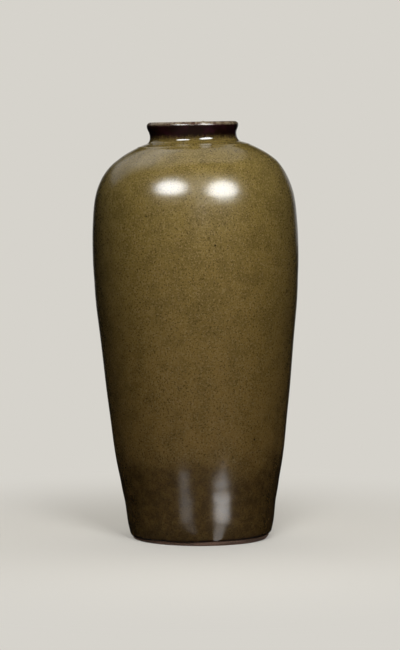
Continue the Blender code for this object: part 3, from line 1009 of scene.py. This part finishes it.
def band_radius(jar):
    """Radius of the foot ring's bare band, which stands just inside the glaze's rolled edge."""
    roll_end, inward = outer_runs(jar, *FOOT_SPACING)["roll"][-1]
    return roll_end.x + inward.x * jar.glaze - jar.fit


class JAR_OT_bare_foot(bpy.types.Operator):
    """Build the bare turned foot ring and the glaze in its recess"""

    bl_idname = "jar.bare_foot"
    bl_label = "Foot and base"

    def execute(self, context):
        jar, making = context.scene.jar_sizes, context.scene.jar_making
        finish = context.scene.jar_finish
        ring = self.foot_ring(jar)
        ring.data.materials.append(bare_stoneware(jar, finish))
        dress(ring, "bare_stoneware", "foot_ring")
        base = self.base_coat(jar, making, bpy.data.materials["inside_glaze"])
        dress(base, "inside_glaze", "base_glaze")
        return {"FINISHED"}

    def foot_ring(self, jar):
        """The clay ring, whose underside is ground level under the lean."""
        around = azimuths()[0]
        outer = outer_runs(jar, *FOOT_SPACING)
        glazed = joined([outer["taper"], outer["roll"]], FOOT_SPACING[0])
        clay = under(glazed, clay_depth(jar))
        band = band_radius(jar)

        # The clay under the glaze, from just below the ring's top to just outside the bare band
        covered = [
            point for point, _ in clay
            if point.y < jar.foot_ring_height - 0.5 * MM and point.x > band + 0.1 * MM
        ]
        inner_radius = band - jar.foot_ring_width
        band_top = clay[-1][0].y
        slope = jar.foot_chamfer_inset / jar.foot_chamfer_rise

        # The level cut crosses the chamfer lower on the right, because the jar leans left.
        tangent = math.tan(jar.lean)
        ground = -(band - jar.foot_chamfer_inset) * np.cos(around) * tangent
        edge_radius = band - (jar.foot_chamfer_rise - ground) * slope
        inner_ground = -inner_radius * np.cos(around) * tangent
        same = np.ones_like(around)
        section = [(point.x * same, point.y * same) for point in covered]
        section += [
            (band * same, band_top * same),
            (band * same, (band_top + jar.foot_chamfer_rise) / 2 * same),
            (band * same, jar.foot_chamfer_rise * same),
            (edge_radius, -edge_radius * np.cos(around) * tangent),
            (inner_radius * same, inner_ground),
            (inner_radius * same, jar.foot_ring_height * same),
            (covered[0].x * same, jar.foot_ring_height * same),
        ]
        rows = np.stack([
            lean_over(jar, radius * np.cos(around), radius * np.sin(around), height)
            for radius, height in section
        ])
        # These two rows stand on the ground.
        rows[-4:-2, :, 2] = 0.0
        made = closed_mesh("foot_ring_clay", rows)
        worn = made.modifiers.new("worn_edges", "BEVEL")
        worn.width = 0.3 * MM
        worn.segments = 3
        worn.limit_method = "ANGLE"
        worn.angle_limit = math.radians(28)
        made.data.set_sharp_from_angle(angle=math.radians(50))
        return made

    def base_coat(self, jar, making, finish):
        """The glaze under the floor, which runs a little way down inside the ring."""
        radius = band_radius(jar) - jar.foot_ring_width - jar.fit - jar.glaze
        ceiling = jar.foot_ring_height - jar.glaze
        rim = Vector((radius, jar.foot_ring_height - jar.base_glaze_run))
        corner = Vector((radius, ceiling))
        centre = Vector((0.0, ceiling))
        hollow = rounded_corner(rim, corner, centre, jar.base_glaze_round, 0.5, 0.4 * MM)
        up = [(rim, Vector((1.0, 0.0)))]
        flat = [(centre, Vector((0.0, 1.0)))]
        path = joined([up, mirrored(hollow), flat], FOOT_SPACING[0])

        def relief(azimuth, radius, height):
            """Slow unevenness of glaze that pooled before it set."""
            slow = wander(azimuth, radius, seed=5, turns=4, length=30 * MM)
            return 0.08 * MM * slow * rise(radius, 0.0, 10 * MM)

        # The last row is one point on the axis, so its normal is given.
        rows = turn(jar, making, path, relief)
        normals = normals_of(rows)
        normals[-1] = (0.0, 0.0, -1.0)
        return coat("base_coat", rows, normals, jar.glaze * COAT_SHARE, finish)


class JAR_OT_clay_body(bpy.types.Operator):
    """Finish the thrown sections and the slip between them, which the glaze covers"""

    bl_idname = "jar.clay_body"
    bl_label = "Clay body"

    def execute(self, context):
        finish = context.scene.jar_finish
        clay = hidden_clay("stoneware_body", finish.body_clay, finish.grog_size)
        slip = hidden_clay("joint_slip", finish.joint_slip, finish.grog_size * 0.5)
        coverings = {
            clay: ("neck_collar", "shoulder_section", "lower_section"),
            slip: ("neck_joint_slip", "waist_joint_slip"),
        }
        for material, names in coverings.items():
            for name in names:
                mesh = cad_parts[name].data
                mesh.materials.clear()
                mesh.materials.append(material)
        return {"FINISHED"}


class JAR_OT_studio(bpy.types.Operator):
    """Set up the floor, the background, the lamps and the camera"""

    bl_idname = "jar.studio"
    bl_label = "Studio"

    def execute(self, context):
        studio = context.scene.jar_studio
        self.floor(studio)
        self.world(context.scene, studio)
        self.softbox("left_softbox", studio.left_azimuth, studio.left_elevation,
                     studio.left_height, studio)
        self.softbox("right_softbox", studio.right_azimuth, studio.right_elevation,
                     studio.right_height, studio)
        self.front_light(studio)
        self.panels(studio)
        self.gleams(LEFT_GLEAMS, studio.left_azimuth)
        self.gleams(RIGHT_GLEAMS, studio.right_azimuth)
        self.camera(context.scene, studio)
        context.scene.view_settings.view_transform = "Standard"
        return {"FINISHED"}

    def floor(self, studio):
        """A wide floor that keeps the jar's shadow and fades into the background."""
        mesh = bpy.data.meshes.new("floor")
        disc = bmesh.new()
        bmesh.ops.create_circle(disc, cap_ends=True, radius=FLOOR_RADIUS, segments=96)
        disc.to_mesh(mesh)
        disc.free()
        floor = bpy.data.objects.new("floor", mesh)
        bpy.context.scene.collection.objects.link(floor)
        material, tree, shader = new_material("painted_floor")
        tree.nodes.remove(shader)
        place = add_node(tree, "ShaderNodeTexCoord", {}, {}, "Object")
        away = add_node(tree, "ShaderNodeVectorMath", {"operation": "LENGTH"}, {0: place}, "Value")
        begin, end, least = FLOOR_FADE
        far = add_node(
            tree, "ShaderNodeMapRange", SMOOTH,
            {"Value": away, "From Min": begin, "From Max": end, "To Min": least},
        )
        heading = add_node(tree, "ShaderNodeVectorMath", {"operation": "NORMALIZE"}, {0: place})
        # The front light is weaker on the floor than on the jar, and the camera's share makes up
        # for that.
        near = self.pale(tree, studio, heading, bounced=0.5, seen=1.06, glow=0.0)
        lit = add_node(tree, "ShaderNodeBsdfDiffuse", {}, {"Color": near})
        beyond = self.pale(tree, studio, heading, studio.ambient, 1.0, studio.glow)
        glowing = add_node(tree, "ShaderNodeEmission", {}, {"Color": beyond})
        joint = add_node(tree, "ShaderNodeMixShader", {}, {0: far, 1: lit, 2: glowing})
        tree.links.new(joint, tree.nodes["Material Output"].inputs["Surface"])
        mesh.materials.append(material)

    def pale(self, tree, studio, direction, bounced, seen, glow):
        """The backdrop's colour, by shares for the camera, for bounced light and for gloss.

        Gloss sees the whole backdrop straight behind the jar, hardly any of it at the jar's sides
        and a soft glow before it.
        """
        back = add_node(
            tree, "ShaderNodeVectorMath", {"operation": "DOT_PRODUCT"},
            {0: direction, 1: (0.0, 1.0, 0.0)}, "Value",
        )
        behind, before = [
            add_node(
                tree, "ShaderNodeMapRange", SMOOTH,
                {"Value": back, "From Min": begin, "From Max": end, "To Max": most},
            )
            for begin, end, most in ((*BACKDROP_SPAN, 1.0), (*GLOW_SPAN, glow))
        ]
        share = add_node(tree, "ShaderNodeMath", {"operation": "MAXIMUM"}, {0: behind, 1: before})
        shown = 0.0
        for ray in ("Is Camera Ray", "Is Transmission Ray"):
            path = add_node(tree, "ShaderNodeLightPath", {}, {}, ray)
            shown = add_node(tree, "ShaderNodeMath", {"operation": "MAXIMUM"}, {0: shown, 1: path})
        glossy = add_node(tree, "ShaderNodeLightPath", {}, {}, "Is Glossy Ray")
        given, dark, whole, full = [
            studio.backdrop * part for part in (bounced, studio.mirrored, 1.0, seen)
        ]
        mirrored = add_node(
            tree, "ShaderNodeMix", BY_COLOUR, {FACTOR: share, FIRST: dark, SECOND: whole}, MIXED
        )
        unseen = add_node(
            tree, "ShaderNodeMix", BY_COLOUR, {FACTOR: glossy, FIRST: given, SECOND: mirrored}, MIXED
        )
        return add_node(
            tree, "ShaderNodeMix", BY_COLOUR, {FACTOR: shown, FIRST: unseen, SECOND: full}, MIXED
        )

    def world(self, scene, studio):
        """A pale background. It gives little light, and that mostly from behind the jar."""
        world = bpy.data.worlds.new("studio")
        world.use_nodes = True
        scene.world = world
        tree = world.node_tree
        direction = add_node(tree, "ShaderNodeTexCoord", {}, {}, "Generated")
        shown = self.pale(tree, studio, direction, studio.ambient, 1.0, studio.glow)
        above = add_node(
            tree, "ShaderNodeVectorMath", {"operation": "DOT_PRODUCT"},
            {0: direction, 1: BACK_LIGHT_FROM}, "Value",
        )
        begin, end = BACK_LIGHT_SPAN
        behind = add_node(
            tree, "ShaderNodeMapRange", SMOOTH, {"Value": above, "From Min": begin, "From Max": end}
        )
        diffuse = add_node(tree, "ShaderNodeLightPath", {}, {}, "Is Diffuse Ray")
        lit = add_node(tree, "ShaderNodeMath", {"operation": "MULTIPLY"}, {0: behind, 1: diffuse})
        more = add_node(
            tree, "ShaderNodeMath", {"operation": "MULTIPLY_ADD"},
            {0: lit, 1: studio.back_light / studio.ambient, 2: 1.0},
        )
        tree.links.new(shown, tree.nodes["Background"].inputs["Color"])
        tree.links.new(more, tree.nodes["Background"].inputs["Strength"])

    def softbox(self, name, azimuth, elevation, height, studio):
        """A softbox that shows in the gloss. The front light does its part of the shading."""
        lamp = self.facing_light(name, azimuth, elevation, studio.lamp_distance, "visible_diffuse")
        self.fill_lamp(lamp, studio.lamp_distance, studio.lamp_width, height, studio.lamp_radiance)
        lamp.data.color = SOFTBOX_TINT

    def front_light(self, studio):
        """A tall light before the jar, which shades it and doesn't show in its gloss."""
        distance = studio.front_distance
        lamp = self.facing_light(
            "front_light", studio.front_azimuth, studio.front_elevation, distance, "visible_glossy"
        )
        lamp.data.size = studio.front_width
        lamp.data.size_y = studio.front_height
        lamp.data.energy = studio.front_level * (math.pi * distance) ** 2

    def panels(self, studio):
        """Dim reflector panels behind the jar, which pale the gloss of its shoulder and edge."""
        distance = studio.lamp_distance
        for name, *angles, radiance in PANELS:
            azimuth, elevation, width, height = map(math.radians, angles)
            lamp = self.facing_light(name, azimuth, elevation, distance, "visible_diffuse")
            lamp.data.shape = "RECTANGLE"
            self.fill_lamp(lamp, distance, width, height, radiance)

    def gleams(self, places, towards):
        """A softbox's gleams on the floor, which show only as a streak in the low wall's gloss."""
        for name, azimuth, reach, length, width, radiance in places:
            swing = math.radians(azimuth)
            place = Vector((math.sin(swing), -math.cos(swing), 0.0)) * reach * MM
            place.z = GLEAM_LIFT
            lamp = self.lamp(name, place, (math.pi, 0.0, towards), "visible_diffuse")
            self.brighten(lamp.data, width * MM, length * MM, radiance)

    def fill_lamp(self, lamp, distance, width, height, radiance):
        """Size a lamp by the angles that it covers as seen from the jar, and set its brightness."""
        across, up = (2 * distance * math.tan(covered / 2) for covered in (width, height))
        self.brighten(lamp.data, across, up, radiance)

    def brighten(self, light, width, height, radiance):
        """Give a lamp its size and its brightness, where a radiance of 1 is white."""
        light.size = width
        light.size_y = height
        area = width * height * (math.pi / 4 if light.shape == "ELLIPSE" else 1.0)
        light.energy = radiance * math.pi * area

    def facing_light(self, name, azimuth, elevation, distance, hidden):
        """An area light that faces the jar's shoulder."""
        shoulder = Vector((0.0, 0.0, 250 * MM))
        level_reach = math.cos(elevation)
        direction = Vector((
            math.sin(azimuth) * level_reach,
            -math.cos(azimuth) * level_reach,
            math.sin(elevation),
        ))
        turned = direction.to_track_quat("Z", "Y").to_euler()
        return self.lamp(name, shoulder + direction * distance, turned, hidden)

    def lamp(self, name, place, turned, hidden):
        """An area light that the camera doesn't see, nor the kind of ray that hidden names."""
        light = bpy.data.lights.new(name, "AREA")
        light.shape = "ELLIPSE"
        lamp = bpy.data.objects.new(name, light)
        lamp.location = place
        lamp.rotation_euler = turned
        lamp.visible_camera = False
        setattr(lamp, hidden, False)
        bpy.context.scene.collection.objects.link(lamp)
        return lamp

    def camera(self, scene, studio):
        """The photograph's viewpoint, level with the lip and looking a little down."""
        lens = bpy.data.cameras.new("camera")
        lens.lens = studio.lens
        lens.sensor_width = 36.0
        lens.clip_start = 0.05
        camera = bpy.data.objects.new("camera", lens)
        camera.location = (studio.camera_side, -studio.camera_distance, studio.camera_height)
        camera.rotation_euler = (math.pi / 2 - studio.camera_pitch, 0.0, 0.0)
        scene.collection.objects.link(camera)
        scene.camera = camera


class JAR_PT_panel(bpy.types.Panel):
    """The jar's sizes, finishes and building steps"""

    bl_idname = "JAR_PT_panel"
    bl_label = "Tea-dust Jar"
    bl_space_type = "VIEW_3D"
    bl_region_type = "UI"
    bl_category = "Jar"

    def draw(self, context):
        for operator in OPERATORS:
            self.layout.operator(operator.bl_idname)
        for holder in PROPERTY_GROUPS:
            box = self.layout.box()
            settings = getattr(context.scene, holder)
            for name in settings.bl_rna.properties.keys():
                if name not in {"rna_type", "name"}:
                    box.prop(settings, name)


PROPERTY_GROUPS = {
    "jar_sizes": JarSizes,
    "jar_making": JarMaking,
    "jar_finish": JarFinish,
    "jar_studio": Studio,
}
OPERATORS = (JAR_OT_glaze_coats, JAR_OT_bare_foot, JAR_OT_clay_body, JAR_OT_studio)
CLASSES = (*PROPERTY_GROUPS.values(), *OPERATORS, JAR_PT_panel)


def register():
    """Add the jar's settings, steps and panel to Blender."""
    for kind in CLASSES:
        bpy.utils.register_class(kind)
    for holder, kind in PROPERTY_GROUPS.items():
        setattr(bpy.types.Scene, holder, PointerProperty(type=kind))


def unregister():
    """Take them out again."""
    for holder in PROPERTY_GROUPS:
        delattr(bpy.types.Scene, holder)
    for kind in reversed(CLASSES):
        bpy.utils.unregister_class(kind)


def main():
    """Build the jar's looks around its CAD pieces."""
    register()
    bpy.ops.jar.glaze_coats()
    bpy.ops.jar.bare_foot()
    bpy.ops.jar.clay_body()
    bpy.ops.jar.studio()


if __name__ == "__main__":
    main()
